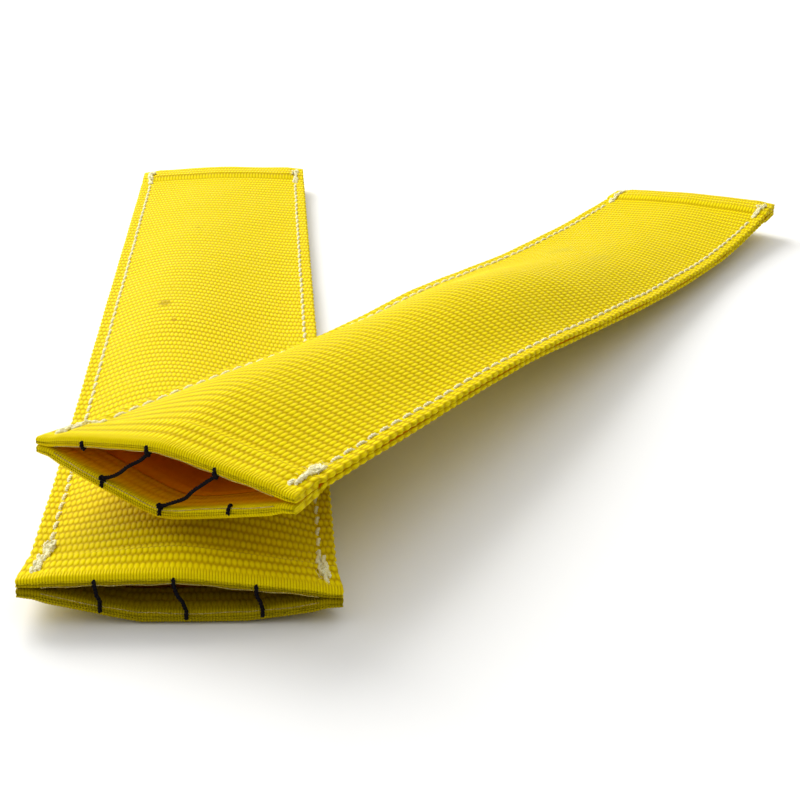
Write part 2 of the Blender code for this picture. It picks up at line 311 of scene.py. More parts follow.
def surface_point(sleeve, face, s, q, lift):
    """World points at a height above a ply's outer face, as an array of rows."""
    s, q, lift = np.broadcast_arrays(np.asarray(s, float), q, lift)
    x, y = ground_place(sleeve, s, q)
    z = smooth_outer(sleeve, face, s, q) + outer_sign(face) * lift
    return np.stack([x, y, z], -1)


# ---------------------------------------------------------------- meshes

def add_mesh(name, points, faces, values, material):
    """A smooth mesh object that faces outwards, from its points and faces and named values for each point."""
    mesh = bpy.data.meshes.new(name)
    mesh.from_pydata(points, [], faces)
    for attribute_name, data in values.items():
        kind = "FLOAT_VECTOR" if data.ndim == 2 else "FLOAT"
        attribute = mesh.attributes.new(attribute_name, kind, "POINT")
        field = "vector" if data.ndim == 2 else "value"
        attribute.data.foreach_set(field, np.ascontiguousarray(data, np.float32).ravel())
    mesh.shade_smooth()
    mesh.materials.append(material)
    if signed_volume(mesh) < 0:
        mesh.flip_normals()
    mesh.update()
    obj = bpy.data.objects.new(name, mesh)
    bpy.context.scene.collection.objects.link(obj)
    return obj


def signed_volume(mesh):
    """The enclosed volume, negative where the faces look inwards."""
    mesh.calc_loop_triangles()
    corners = np.zeros(len(mesh.loop_triangles) * 3, np.int32)
    mesh.loop_triangles.foreach_get("vertices", corners)
    points = np.zeros(len(mesh.vertices) * 3)
    mesh.vertices.foreach_get("co", points)
    a, b, c = points.reshape(-1, 3)[corners.reshape(-1, 3)].transpose(1, 0, 2)
    return float(np.einsum("ij,ij->i", a, np.cross(b, c)).sum()) / 6


def ring_distances(length):
    """The distances along a ply of its rings, and how far each has opened out from the folded end."""
    near = []
    for degrees in NOSE_ANGLES:
        angle = math.radians(degrees)
        near.append((NOSE * (1 - math.cos(angle)), math.sin(angle)))
    hem_rings = round((HEM_DEPTH - NOSE) / RING_STEP)
    for k in range(1, hem_rings):
        near.append((NOSE + (HEM_DEPTH - NOSE) * k / hem_rings, 1.0))
    near.append((HEM_DEPTH - GAP / 2, 1.0))
    span = length - 2 * HEM_DEPTH - GAP
    count = round(span / RING_STEP)
    middle = [(HEM_DEPTH + GAP / 2 + span * k / count, 1.0) for k in range(count + 1)]
    far = [(length - s, opening) for s, opening in reversed(near)]
    rings = near + middle + far
    return np.array([s for s, _ in rings]), np.array([opening for _, opening in rings])


def zipper(first, second, first_at, second_at):
    """Triangles that join two rows of points, each in order of its place across."""
    triangles = []
    i = j = 0
    while i < len(first) - 1 or j < len(second) - 1:
        step_first = j == len(second) - 1 or (i < len(first) - 1 and first_at[i + 1] <= second_at[j + 1])
        if step_first:
            triangles.append((first[i], first[i + 1], second[j]))
            i += 1
        else:
            triangles.append((first[i], second[j + 1], second[j]))
            j += 1
    return triangles


def wall_across(s, from_mouth, opening, turn):
    """How far across a ply's edge stands, step by step round it. The weft's loops make it lumpy."""
    hem_share = np.clip((HEM_DEPTH + HEM_TAPER - from_mouth) / HEM_TAPER, 0.0, 1.0)[:, None]
    single_side = np.sin(turn)[None, :]
    folded_side = 0.35 + 0.65 * np.abs(np.sin(2 * turn))[None, :] ** 0.7
    side = single_side * (1 - hem_share) + folded_side * hem_share
    loops = 0.72 + 0.28 * np.cos(4 * math.pi * s / WEAVE_REPEAT)[:, None] * (1 - 0.8 * hem_share)
    return OUTER_EDGE + (HALF_WIDTH - OUTER_EDGE) * side * loops * (0.4 + 0.6 * opening[:, None])


def cloth_values(sleeve, face, s_all, cloth_q, tone):
    """The values that the webbing's material reads at each point of the rings."""
    s = s_all[:, 0]
    from_mouth = distance_from_mouth(sleeve, s)[:, None]
    outer_count = tone.shape[1]
    inner = slice(outer_count + WALL_COUNT, outer_count + WALL_COUNT + INNER_COUNT)

    tone_all = np.full(cloth_q.shape, 0.5)
    tone_all[:, :outer_count] = tone

    # The inside faces' share of the warm inner colour: painted bounce light from inside the tube.
    inside = np.zeros(cloth_q.shape)
    turned_in = np.where(from_mouth < HEM_DEPTH, TURNED_IN_SHARE[sleeve["name"]], 1.0)
    inside[:, inner] = turned_in * np.clip((from_mouth - INSIDE_FROM) / INSIDE_BLEND, 0.0, 1.0)

    # Painted shade: the lower sleeve's bottom ply is darkened near its hems and its inside near its mouths,
    # standing in for contact shadow and the dark inside of the tube.
    painted_shade = np.zeros(cloth_q.shape)
    if sleeve["name"] == "lower":
        if face == "bottom":
            painted_shade[:] = HEM_PAINTED_SHADE * np.exp(-(from_mouth / HEM_SHADE_REACH) ** 2)
        inner_shade = INNER_PAINTED_SHADE * np.exp(-(from_mouth / INNER_SHADE_REACH) ** 2)
        painted_shade[:, inner] = np.maximum(painted_shade[:, inner], inner_shade)

    floats = np.broadcast_to(float_share(sleeve, s)[:, None], cloth_q.shape)
    return {"cloth": np.stack([cloth_q, s_all, floats], -1).reshape(-1, 3),
            "tone": tone_all.ravel(), "inside": inside.ravel(), "painted_shade": painted_shade.ravel()}


def ply_points(sleeve, face, s, opening):
    """The rings of a ply as arrays: world points, and the values that its material reads."""
    sign = outer_sign(face)
    from_mouth = distance_from_mouth(sleeve, s)
    outer_q = np.arange(-OUTER_EDGE, OUTER_EDGE + OUTER_STEP / 2, OUTER_STEP)
    inner_q = np.linspace(OUTER_EDGE, -OUTER_EDGE, INNER_COUNT)
    turn = np.linspace(0, math.pi, WALL_COUNT + 2)[1:-1]
    s_grid, q_grid = np.meshgrid(s, outer_q, indexing="ij")
    open_grid = opening[:, None]
    folded = (from_mouth < HEM_DEPTH)[:, None]

    def cross_section(q):
        """The outer and inner heights at q, with the turned-in end's cut edge stepping down to one ply."""
        outer, inner = ply_faces(sleeve, face, s[:, None], q)
        rippled = sign * ripple(sleeve, s[:, None], q)
        inner = np.where(folded, inner, outer - sign * PLY)
        middle = (outer + inner) / 2
        return (middle + (outer - middle) * open_grid + rippled,
                middle + (inner - middle) * open_grid + rippled)

    relief, tone = weave(sleeve, s_grid, q_grid)
    fade = np.clip((OUTER_EDGE + EDGE_FADE / 2 - np.abs(q_grid)) / EDGE_FADE, 0.0, 1.0) * open_grid
    outer_z, _ = cross_section(outer_q[None, :])
    outer_z = outer_z + sign * (relief * fade - channel(sleeve, s_grid, q_grid))
    _, inner_z = cross_section(inner_q[None, :])

    side_q = wall_across(s, from_mouth, opening, turn)
    walls = []
    for edge in (1, -1):
        top_z, low_z = cross_section(np.array([[edge * OUTER_EDGE]]))
        z = (top_z + low_z) / 2 + (top_z - low_z) / 2 * np.cos(turn)[None, :]
        order = slice(None) if edge == 1 else slice(None, None, -1)
        walls.append((edge * side_q[:, order], z[:, order]))

    inner_grid = np.tile(inner_q, (len(s), 1))
    q_all = np.concatenate([q_grid, walls[0][0], inner_grid, walls[1][0]], 1)
    z_all = np.concatenate([outer_z, walls[0][1], inner_z, walls[1][1]], 1)
    s_all = np.broadcast_to(s[:, None], q_all.shape)
    x_all, y_all = ground_place(sleeve, s_all, q_all)

    wall_q = np.tile(OUTER_EDGE + ROUND_EDGE * turn / math.pi, (len(s), 1))
    cloth_q = np.concatenate([q_grid, wall_q, inner_grid, -wall_q[:, ::-1]], 1)
    values = cloth_values(sleeve, face, s_all, cloth_q, tone)
    return np.stack([x_all, y_all, z_all], -1), values, outer_q, inner_q


def make_ply(sleeve, face, material):
    """One woven ply for the whole sleeve, with its ends folded in."""
    s, opening = ring_distances(sleeve["length"])
    points, values, outer_q, inner_q = ply_points(sleeve, face, s, opening)
    rings, count = points.shape[:2]
    ids = np.arange(rings * count).reshape(rings, count)
    beside = np.roll(ids, -1, 1)
    faces = np.stack([ids[:-1], beside[:-1], beside[1:], ids[1:]], -1).reshape(-1, 4).tolist()
    outer_end = len(outer_q)
    wall_at = np.linspace(OUTER_EDGE + 0.0001, OUTER_EDGE + 0.0002, WALL_COUNT)
    inner_at = [*(-wall_at[::-1]), *inner_q[::-1], *wall_at]
    for ring in (0, rings - 1):
        row = ids[ring].tolist()
        triangles = zipper(row[:outer_end], row[outer_end:][::-1], list(outer_q), inner_at)
        if ring != 0:
            triangles = [triangle[::-1] for triangle in triangles]
        faces += triangles
    name = f"{sleeve['name']}_{face}_ply"
    ply = add_mesh(name, points.reshape(-1, 3).tolist(), faces, values, material)
    span_sleeve(ply)
    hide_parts(name + "_front", name + "_rear")
    return ply


def span_sleeve(piece):
    """The piece runs along the whole sleeve; its transform is baked into its mesh."""
    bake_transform(piece)


# ---------------------------------------------------------------- threads

class Threads:
    """Tubes that are gathered into one mesh."""

    def __init__(self):
        self.points = []
        self.faces = []
        self.along = []

    def tube(self, path, radius, sides=6):
        """A closed tube along the path, its radius one number or one for each point."""
        path = np.asarray(path, float)
        normal, binormal, travelled = path_frames(path)
        radius = np.broadcast_to(radius, len(path))[:, None, None]
        angle = np.linspace(0, 2 * math.pi, sides, endpoint=False)
        circle = (normal[:, None, :] * np.cos(angle)[None, :, None]
                  + binormal[:, None, :] * np.sin(angle)[None, :, None])
        rings = path[:, None, :] + circle * radius
        base = len(self.points)
        self.points += rings.reshape(-1, 3).tolist()
        self.along += np.repeat(travelled, sides).tolist()
        for i in range(len(path) - 1):
            for j in range(sides):
                k = (j + 1) % sides
                a = base + i * sides
                self.faces.append((a + j, a + k, a + sides + k, a + sides + j))
        self.faces.append(tuple(base + j for j in reversed(range(sides))))
        last = base + (len(path) - 1) * sides
        self.faces.append(tuple(last + j for j in range(sides)))

    def twisted(self, path, radius, pitch, strands=2, sides=6):
        """Strands twisted round each other along the path."""
        path = np.asarray(path, float)
        normal, binormal, travelled = path_frames(path)
        for strand in range(strands):
            angle = 2 * math.pi * (travelled / pitch + strand / strands)
            offset = normal * np.cos(angle)[:, None] + binormal * np.sin(angle)[:, None]
            self.tube(path + offset * radius * 0.46, radius * 0.60, sides)

    def build(self, name, material):
        """The mesh object of all the tubes."""
        return add_mesh(name, self.points, self.faces, {"along": np.array(self.along)}, material)


def path_frames(path):
    """Two unit vectors square to the path at each point, without twist, and the distance travelled."""
    steps = np.diff(path, axis=0)
    travelled = np.concatenate([[0.0], np.cumsum(np.linalg.norm(steps, axis=1))])
    tangent = np.gradient(path, axis=0)
    tangent /= np.linalg.norm(tangent, axis=1)[:, None]
    helper = np.array((0.0, 0.0, 1.0)) if abs(tangent[0][2]) < 0.9 else np.array((1.0, 0.0, 0.0))
    normal = np.zeros_like(path)
    current = np.cross(tangent[0], helper)
    for i, direction in enumerate(tangent):
        current = current - direction * float(current @ direction)
        current = current / np.linalg.norm(current)
        normal[i] = current
    return normal, np.cross(tangent, normal), travelled


def smooth_path(points, count):
    """A smooth path of evenly spread points through a few given ones."""
    points = np.asarray(points, float)
    lengths = np.linalg.norm(np.diff(points, axis=0), axis=1)
    knots = np.concatenate([[0.0], np.cumsum(lengths)])
    at = np.linspace(0.0, knots[-1], count)
    columns = [curve_at(tuple(zip(knots, points[:, axis])), at) for axis in range(3)]
    return np.stack(columns, -1)


def side_sign(side):
    """Left is -1 and right is +1 across the sleeve."""
    return -1.0 if side == "left" else 1.0


def along_from(sleeve, end, distance):
    """The distance along the sleeve of a place that far in from one of its mouths."""
    return distance if end == "near" else sleeve["length"] - distance


def stand_in(piece, sleeve, end, node):
    """The piece rides on the half of the sleeve that has this mouth, and stands for one CAD node."""
    part = "front" if end == "near" else "rear"
    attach(piece, f"{sleeve['name']}_{part}")
    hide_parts(node)


def add_stitch(threads, sleeve, face, start, length, q_start, q_end, radius, rise):
    """One stitch: it comes up out of the web, runs along it and goes down again."""
    t = np.linspace(0.0, 1.0, 11)
    s = start + length * t
    q = q_start + (q_end - q_start) * t
    sunk = 0.9 * radius + STITCH_SINK
    lift = (rise + sunk) * np.sin(math.pi * t) ** 0.45 - sunk
    path = surface_point(sleeve, face, s, q, lift)
    threads.twisted(path, radius, STITCH_TWIST, strands=2, sides=5)


def make_seam(sleeve, side, face, material):
    """A row of lockstitches along one edge."""
    kind = "needle" if face == "top" else "bobbin"
    dice = random.Random(f"{sleeve['name']} {side} {kind}")
    threads = Threads()
    clear = TACK_START + TACK_LENGTH + TACK_MARGIN
    first = math.ceil(clear / STITCH_PITCH)
    last = math.floor((sleeve["length"] - clear) / STITCH_PITCH)
    sign = side_sign(side)
    for k in range(first, last):
        start = k * STITCH_PITCH + (STITCH_PITCH - STITCH_LENGTH) / 2 + dice.uniform(-0.0003, 0.0003)
        slant = 0.00045 + dice.uniform(-0.0001, 0.0001)
        middle = SEAM_AT + dice.uniform(-0.00015, 0.00015)
        add_stitch(threads, sleeve, face, start, STITCH_LENGTH, sign * middle - slant, sign * middle + slant,
                   STITCH_RADIUS, STITCH_RISE)
    name = f"{sleeve['name']}_{side}_{kind}_stitches"
    seam = threads.build(name, material)
    span_sleeve(seam)
    node = f"{sleeve['name']}_{side}_{kind}_thread_"
    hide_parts(node + "front", node + "rear")


def add_laps(threads, sleeve, sign, end, dice):
    """The tack's laps of short stitches, each a little higher than the last."""
    toward = 1 if end == "near" else -1
    for lap in range(TACK_LAPS):
        distance = TACK_START + TACK_INSET + lap * LAP_STEP
        while distance < TACK_START + TACK_LENGTH - TACK_STOP:
            share = (distance - TACK_START) / TACK_LENGTH
            middle = SEAM_AT + 0.0012 * (1 - share) + dice.uniform(-0.0013, 0.0013)
            slant = dice.uniform(-0.0006, 0.0006)
            piece = dice.uniform(0.0045, 0.0062)
            add_stitch(threads, sleeve, "top", along_from(sleeve, end, distance), toward * piece,
                       sign * (middle - slant), sign * (middle + slant), STITCH_RADIUS * 0.9,
                       0.00025 + 0.00020 * lap)
            distance += piece + dice.uniform(0.0004, 0.0016)


def add_loop(threads, sleeve, sign, clump_s, dice):
    """One loose loop of thread over the frayed part of a tack."""
    reach = dice.uniform(0.0012, 0.0026)
    lean = dice.uniform(-0.001, 0.001)
    turn = dice.uniform(0.0, 2 * math.pi)
    angles = np.linspace(turn, turn + dice.uniform(3.6, 6.0), 16)
    middle_s = clump_s + dice.uniform(-0.0022, 0.0022)
    middle_q = sign * (SEAM_AT + lean)
    s = middle_s + reach * np.cos(angles)
    q = middle_q + 0.6 * reach * np.sin(angles)
    lift = 0.0004 + np.linspace(0.0, dice.uniform(0.0005, 0.0014), 16) + 0.0003 * np.sin(2 * angles)
    threads.twisted(surface_point(sleeve, "top", s, q, lift), STITCH_RADIUS * 0.62, 0.0018, 2, 5)


def add_fibre(threads, sleeve, sign, end, clump_at, dice):
    """One fine fibre that stands out of the frayed part of a tack."""
    root_s = along_from(sleeve, end, clump_at + dice.gauss(0.0, 0.0035))
    root_q = sign * (SEAM_AT + dice.gauss(0.0, 0.0010))
    angle = dice.uniform(0.0, 2 * math.pi)
    reach = dice.uniform(0.0015, 0.0045)
    curl = dice.uniform(-1.5, 1.5)
    t = np.linspace(0.0, 1.0, 8)
    heading = angle + curl * t
    s = root_s + reach * t * np.cos(heading)
    q = root_q + 0.6 * reach * t * np.sin(heading)
    lift = 0.0002 + dice.uniform(0.0004, 0.0014) * np.sin(math.pi * 0.8 * t)
    threads.tube(surface_point(sleeve, "top", s, q, lift), 0.00007 * (1.1 - 0.8 * t), 4)


def make_tack(sleeve, side, end, clump_at, loops, material):
    """A seam's end, sewn back and forth over itself, with frayed loops where the thread was cut."""
    dice = random.Random(f"{sleeve['name']} {side} {end} tack")
    threads = Threads()
    sign = side_sign(side)
    add_laps(threads, sleeve, sign, end, dice)
    for _ in range(loops):
        add_loop(threads, sleeve, sign, along_from(sleeve, end, clump_at), dice)
    for _ in range(FIBRES_PER_LOOP * loops):
        add_fibre(threads, sleeve, sign, end, clump_at, dice)
    name = f"{sleeve['name']}_{side}_bar_tack_{end}"
    tack = threads.build(name + "_thread", material)
    stand_in(tack, sleeve, end, name)


def hem_point(sleeve, face, end, q, degrees, clear):
    """A point over the rounded fold of a hem: 90 degrees is its outer side, 0 the tip, -90 the inner side."""
    angle = math.radians(degrees)
    from_mouth = NOSE * (1 - math.cos(angle)) - clear * math.cos(angle)
    s = along_from(sleeve, end, from_mouth)
    outer, inner = ply_faces(sleeve, face, np.array(s), np.array(q))
    middle = float(outer + inner) / 2
    half = abs(float(outer - inner)) / 2
    x, y = ground_place(sleeve, np.array(s), np.array(q))
    z = middle + outer_sign(face) * (half + clear) * math.sin(angle)
    z += float(outer_sign(face) * ripple(sleeve, np.array(s), np.array(q)))
    return np.array((float(x), float(y), z))


def over_hem(sleeve, face, end, q, first, last):
    """The path of a thread over the fold of a hem, from one angle to another, sunk in where it starts."""
    angles = np.linspace(first, last, 7)
    clear = np.full(7, TIE_RADIUS * 0.75)
    clear[0] = -TIE_RADIUS
    return [hem_point(sleeve, face, end, q, a, c) for a, c in zip(angles, clear)]


def add_knot(threads, centre, size, radius):
    """A small overhand knot, drawn as a trefoil."""
    t = np.linspace(0.0, 2 * math.pi, 40)
    x = (np.sin(t) + 2 * np.sin(2 * t)) / 3
    y = np.sin(3 * t) / 3
    z = (np.cos(t) - 2 * np.cos(2 * t)) / 3
    threads.twisted(centre + size * np.stack([x, y, z], -1), radius, 0.0016)


def make_tie(sleeve, number, end, top_u, bottom_u, material):
    """A tie thread: round the top hem's fold, across the mouth and round the bottom hem's fold."""
    top_q, bottom_q = top_u * HALF_WIDTH, bottom_u * HALF_WIDTH
    top_part = over_hem(sleeve, "top", end, top_q, TIE_START, TIE_END)
    bottom_part = over_hem(sleeve, "bottom", end, bottom_q, TIE_START, TIE_END)
    a, b = top_part[-1], bottom_part[-1]
    span = float(np.linalg.norm(b - a))
    middle = []
    for t in (0.2, 0.4, 0.6, 0.8):
        wander = 0.035 * span * math.sin(9.0 * t + number)
        middle.append(a + (b - a) * t + np.array((wander, 0.0, -0.05 * span * math.sin(math.pi * t))))
    points = [*top_part, *middle, *bottom_part[::-1]]
    threads = Threads()
    threads.twisted(smooth_path(points, 90), TIE_RADIUS, TIE_TWIST, strands=2, sides=7)
    if abs(top_u - bottom_u) > LEANING_TIE:
        add_knot(threads, b, 0.0013, TIE_RADIUS * 0.75)
        add_knot(threads, a, 0.0010, TIE_RADIUS * 0.70)
    name = f"{sleeve['name']}_tie_thread_{end}_{number}"
    tie = threads.build(name + "_twisted", material)
    stand_in(tie, sleeve, end, name)


def make_tick(sleeve, face, u, material):
    """One hem stitch of the tie thread, over the fold of the near hem."""
    points = over_hem(sleeve, face, "near", u * HALF_WIDTH, TIE_START, -70)
    points.append(hem_point(sleeve, face, "near", u * HALF_WIDTH, -85, -TIE_RADIUS))
    threads = Threads()
    threads.twisted(smooth_path(points, 24), TIE_RADIUS, TIE_TWIST, strands=2, sides=7)
    name = f"{sleeve['name']}_hem_stitch_{face}"
    tick = threads.build(name + "_twisted", material)
    stand_in(tick, sleeve, "near", name)


def make_filament(sleeve, face, end, material):
    """The clear thread that lies along the inner edge of a hem's fold, looping in and out of it."""
    reach = FILAMENT_SPAN * HALF_WIDTH
    points = []
    for q in np.linspace(-reach, reach, 120):
        clear = FILAMENT_RADIUS * (0.9 + 0.7 * math.sin(q / 0.0021))
        degrees = -42 + 7 * math.sin(q / 0.0055 + 1.0)
        points.append(hem_point(sleeve, face, end, q, degrees, clear))
    threads = Threads()
    threads.tube(points, FILAMENT_RADIUS, 8)
    name = f"{sleeve['name']}_{face}_hem_thread_{end}"
    filament = threads.build(name + "_clear", material)
    stand_in(filament, sleeve, end, name)


# ---------------------------------------------------------------- materials

class Nodes:
    """A material's node tree, with short calls for the nodes that it is made of."""

    def __init__(self, name):
        self.material = bpy.data.materials.new(name)
        self.material.use_nodes = True
        self.tree = self.material.node_tree
        self.shader = self.tree.nodes["Principled BSDF"]

    def add(self, kind, **settings):
        """A node with its properties set."""
        node = self.tree.nodes.new(kind)
        for key, value in settings.items():
            setattr(node, key, value)
        return node

    def feed(self, socket, value):
        """A link where the value is another node's socket, and otherwise the socket's own value."""
        if isinstance(value, bpy.types.NodeSocket):
            self.tree.links.new(value, socket)
        else:
            socket.default_value = value

    def math(self, operation, *values):
        """A Math node of the values."""
        node = self.add("ShaderNodeMath", operation=operation)
        for socket, value in zip(node.inputs, values):
            self.feed(socket, value)
        return node.outputs[0]

    def ramp(self, value, low, high):
        """0 up to low, 1 from high, and a smooth step between them."""
        node = self.add("ShaderNodeMapRange", interpolation_type="SMOOTHSTEP")
        self.feed(node.inputs["Value"], value)
        self.feed(node.inputs["From Min"], low)
        self.feed(node.inputs["From Max"], high)
        return node.outputs["Result"]

    def scaled(self, vector, scale, shift=(0.0, 0.0, 0.0)):
        """A vector multiplied and moved, axis by axis."""
        node = self.add("ShaderNodeMapping")
        self.feed(node.inputs["Vector"], vector)
        node.inputs["Scale"].default_value = scale
        node.inputs["Location"].default_value = shift
        return node.outputs[0]

    def noise(self, vector, scale, detail=3.0, roughness=0.55):
        """A noise from about 0 to 1."""
        node = self.add("ShaderNodeTexNoise")
        self.feed(node.inputs["Vector"], vector)
        node.inputs["Scale"].default_value = scale
        node.inputs["Detail"].default_value = detail
        node.inputs["Roughness"].default_value = roughness
        return node.outputs["Fac"]

    def mix(self, share, first, second, blend="MIX"):
        """Two colours mixed."""
        node = self.add("ShaderNodeMix", data_type="RGBA", blend_type=blend)
        self.feed(node.inputs["Factor"], share)
        self.feed(node.inputs["A"], first if isinstance(first, bpy.types.NodeSocket) else (*first, 1.0))
        self.feed(node.inputs["B"], second if isinstance(second, bpy.types.NodeSocket) else (*second, 1.0))
        return node.outputs["Result"]

    def attribute(self, name, output):
        """A value that the mesh holds."""
        return self.add("ShaderNodeAttribute", attribute_name=name).outputs[output]

    def bump(self, height, strength, distance):
        """A bump on the shader's normal."""
        node = self.add("ShaderNodeBump")
        self.feed(node.inputs["Height"], height)
        node.inputs["Strength"].default_value = strength
        node.inputs["Distance"].default_value = distance
        self.tree.links.new(node.outputs[0], self.shader.inputs["Normal"])

    def set(self, **values):
        """The shader's own sockets."""
        for key, value in values.items():
            self.feed(self.shader.inputs[key.replace("_", " ")], value)


def spot(nodes, cloth, across, along, radius, stretch):
    """1 at a place on the cloth, falling to 0 at a ragged edge."""
    moved = nodes.scaled(cloth, (1 / radius, 1 / (radius * stretch), 0.0),
                         (-across / radius, -along / (radius * stretch), 0.0))
    length = nodes.add("ShaderNodeVectorMath", operation="LENGTH")
    nodes.feed(length.inputs[0], moved)
    raggedness = nodes.math("MULTIPLY", nodes.noise(cloth, 900.0), 0.9)
    ragged = nodes.math("ADD", length.outputs["Value"], raggedness)
    return nodes.math("SUBTRACT", 1.0, nodes.ramp(ragged, 0.9, 1.6))


def float_height(nodes, from_row, from_column):
    """The height of one family of floats, 1 on their crests, from how far off its row and column are."""
    arch = nodes.math("MULTIPLY_ADD", nodes.math("MULTIPLY", from_row, from_row), -3.3, 1.0)
    return nodes.math("MULTIPLY_ADD", nodes.math("MULTIPLY", from_column, from_column), -0.55, arch)


def weave_height(nodes, apart):
    """The weave as a height from 0 to 1: two families of floats, and fine ribs where a hem is folded."""
    row = nodes.math("PINGPONG", nodes.math("MULTIPLY", apart.outputs["Y"], 2 / WEAVE_REPEAT), 1.0)
    column = nodes.math("PINGPONG", nodes.math("MULTIPLY", apart.outputs["X"], 1 / COLUMN), 1.0)
    even = float_height(nodes, row, column)
    odd = float_height(nodes, nodes.math("SUBTRACT", 1.0, row), nodes.math("SUBTRACT", 1.0, column))
    floats = nodes.math("MAXIMUM", nodes.math("MAXIMUM", even, odd), 0.0)
    rib = nodes.math("PINGPONG", nodes.math("MULTIPLY", apart.outputs["X"], 1 / COLUMN), 0.5)
    ribs = nodes.math("MULTIPLY_ADD", nodes.math("MULTIPLY", rib, rib), -2.2, 0.85)
    blend = nodes.add("ShaderNodeMix", data_type="FLOAT")
    nodes.feed(blend.inputs["Factor"], apart.outputs["Z"])
    nodes.feed(blend.inputs["A"], ribs)
    nodes.feed(blend.inputs["B"], floats)
    return blend.outputs["Result"]


def webbing_material(name, stains):
    """Bright yellow woven polyester: lemon floats with a painted highlight on their crests, hollows in
    painted shade, a satin sheen, painted shade near the lower sleeve's mouths, and an inside painted orange
    for the light that bounces in the tube.
    """
    nodes = Nodes(name)
    cloth = nodes.attribute("cloth", "Vector")
    apart = nodes.add("ShaderNodeSeparateXYZ")
    nodes.feed(apart.inputs[0], cloth)
    tone = nodes.attribute("tone", "Fac")
    inside = nodes.attribute("inside", "Fac")
    flat = nodes.scaled(cloth, (1.0, 1.0, 0.0))

    fibres = nodes.noise(nodes.scaled(cloth, (5200.0, 420.0, 0.0)), 1.0, 2.0)
    streaks = nodes.noise(nodes.scaled(cloth, (420.0, 14.0, 0.0)), 1.0, 2.0)
    clouds = nodes.noise(flat, 22.0, 3.0)
    height = weave_height(nodes, apart)
    uneven = nodes.math("ADD", height, nodes.math("MULTIPLY_ADD", fibres, 0.30, -0.15))

    # Painted shade in the weave's hollows and a painted highlight on its crests, set by the weave's height.
    colour = nodes.mix(nodes.ramp(uneven, 0.15, 1.00), HOLLOW_PAINTED_SHADE, CREST_PAINTED_HIGHLIGHT)
    colour = nodes.mix(nodes.math("MULTIPLY", tone, 0.24), colour, GOLDEN_FLOAT)
    colour = nodes.mix(nodes.math("MULTIPLY", nodes.ramp(streaks, 0.45, 0.75), 0.22), colour, STREAK)
    colour = nodes.mix(nodes.math("MULTIPLY", nodes.ramp(clouds, 0.45, 0.70), 0.22), colour, CLOUD)
    for across, along, radius, stretch, strength, stain_colour in stains:
        share = nodes.math("MULTIPLY", spot(nodes, flat, across, along, radius, stretch), strength)
        colour = nodes.mix(share, colour, stain_colour)
    # Painted bounce light: the inside faces take a warm orange for the light that bounces inside the tube.
    colour = nodes.mix(inside, colour, INSIDE_PAINTED_BOUNCE)
    # Painted shade, as dark as the mesh's painted shade value says.
    colour = nodes.mix(nodes.attribute("painted_shade", "Fac"), colour, PAINTED_SHADE_COLOUR)

    relief = nodes.math("MULTIPLY_ADD", fibres, 0.16, height)
    outside = nodes.math("MULTIPLY_ADD", inside, -0.8, 1.0)
    nodes.bump(nodes.math("MULTIPLY", relief, outside), 0.85, 0.00050)
    nodes.set(Base_Color=colour, Roughness=nodes.math("MULTIPLY_ADD", fibres, 0.20, 0.34))
    nodes.set(Sheen_Weight=0.08, Sheen_Roughness=0.45, Specular_IOR_Level=0.015)
    nodes.shader.inputs["Sheen Tint"].default_value = (1.0, 0.88, 0.04, 1.0)
    nodes.shader.inputs["Specular Tint"].default_value = (1.0, 0.92, 0.10, 1.0)
    return nodes.material


def thread_material(name, dark, pale, roughness, sheen, gloss):
    """Twisted sewing thread, its filaments lighter and darker along their length."""
    nodes = Nodes(name)
    place = nodes.add("ShaderNodeTexCoord").outputs["Object"]
    fibres = nodes.noise(place, 2600.0, 3.0)
    patches = nodes.noise(place, 160.0, 2.0)
    colour = nodes.mix(nodes.ramp(fibres, 0.30, 0.70), dark, pale)
    colour = nodes.mix(nodes.math("MULTIPLY", nodes.ramp(patches, 0.50, 0.80), 0.30), colour, dark)
    nodes.bump(fibres, 0.35, 0.00008)
    nodes.set(Base_Color=colour, Roughness=nodes.math("MULTIPLY_ADD", fibres, 0.20, roughness))
    nodes.set(Sheen_Weight=sheen, Sheen_Roughness=0.4, Specular_IOR_Level=gloss)
    return nodes.material


def clear_material():
    """Clear nylon monofilament, glossy and faintly yellow with the web behind it."""
    nodes = Nodes("clear_monofilament")
    place = nodes.add("ShaderNodeTexCoord").outputs["Object"]
    dents = nodes.noise(place, 900.0, 2.0)
    colour = nodes.mix(nodes.ramp(dents, 0.35, 0.75), (0.84, 0.66, 0.06), (0.95, 0.84, 0.30))
    nodes.bump(dents, 0.15, 0.00005)
    nodes.set(Base_Color=colour, Roughness=nodes.math("MULTIPLY_ADD", dents, 0.10, 0.10))
    nodes.set(Transmission_Weight=0.75, IOR=1.53)
    return nodes.material


# ---------------------------------------------------------------- camera, floor and light

def add_camera():
    """The camera, from its place, yaw to the right, pitch down and roll."""
    across, ahead = math.sin(CAMERA_YAW), math.cos(CAMERA_YAW)
    down, flat = math.sin(CAMERA_PITCH), math.cos(CAMERA_PITCH)
    forward = Vector((across * flat, ahead * flat, -down))
    level = Vector((ahead, -across, 0.0))
    upward = level.cross(forward)
    right = level * math.cos(CAMERA_ROLL) + upward * math.sin(CAMERA_ROLL)
    top = upward * math.cos(CAMERA_ROLL) - level * math.sin(CAMERA_ROLL)
    data = bpy.data.cameras.new("camera")
    data.lens = CAMERA_LENS
    data.sensor_width = 36.0
    data.clip_start = 0.01
    data.clip_end = 20.0
    camera = bpy.data.objects.new("camera", data)
    turned = Matrix((right, top, -forward)).transposed().to_4x4()
    camera.matrix_world = Matrix.Translation(CAMERA_PLACE) @ turned
    bpy.context.scene.collection.objects.link(camera)
    bpy.context.scene.camera = camera


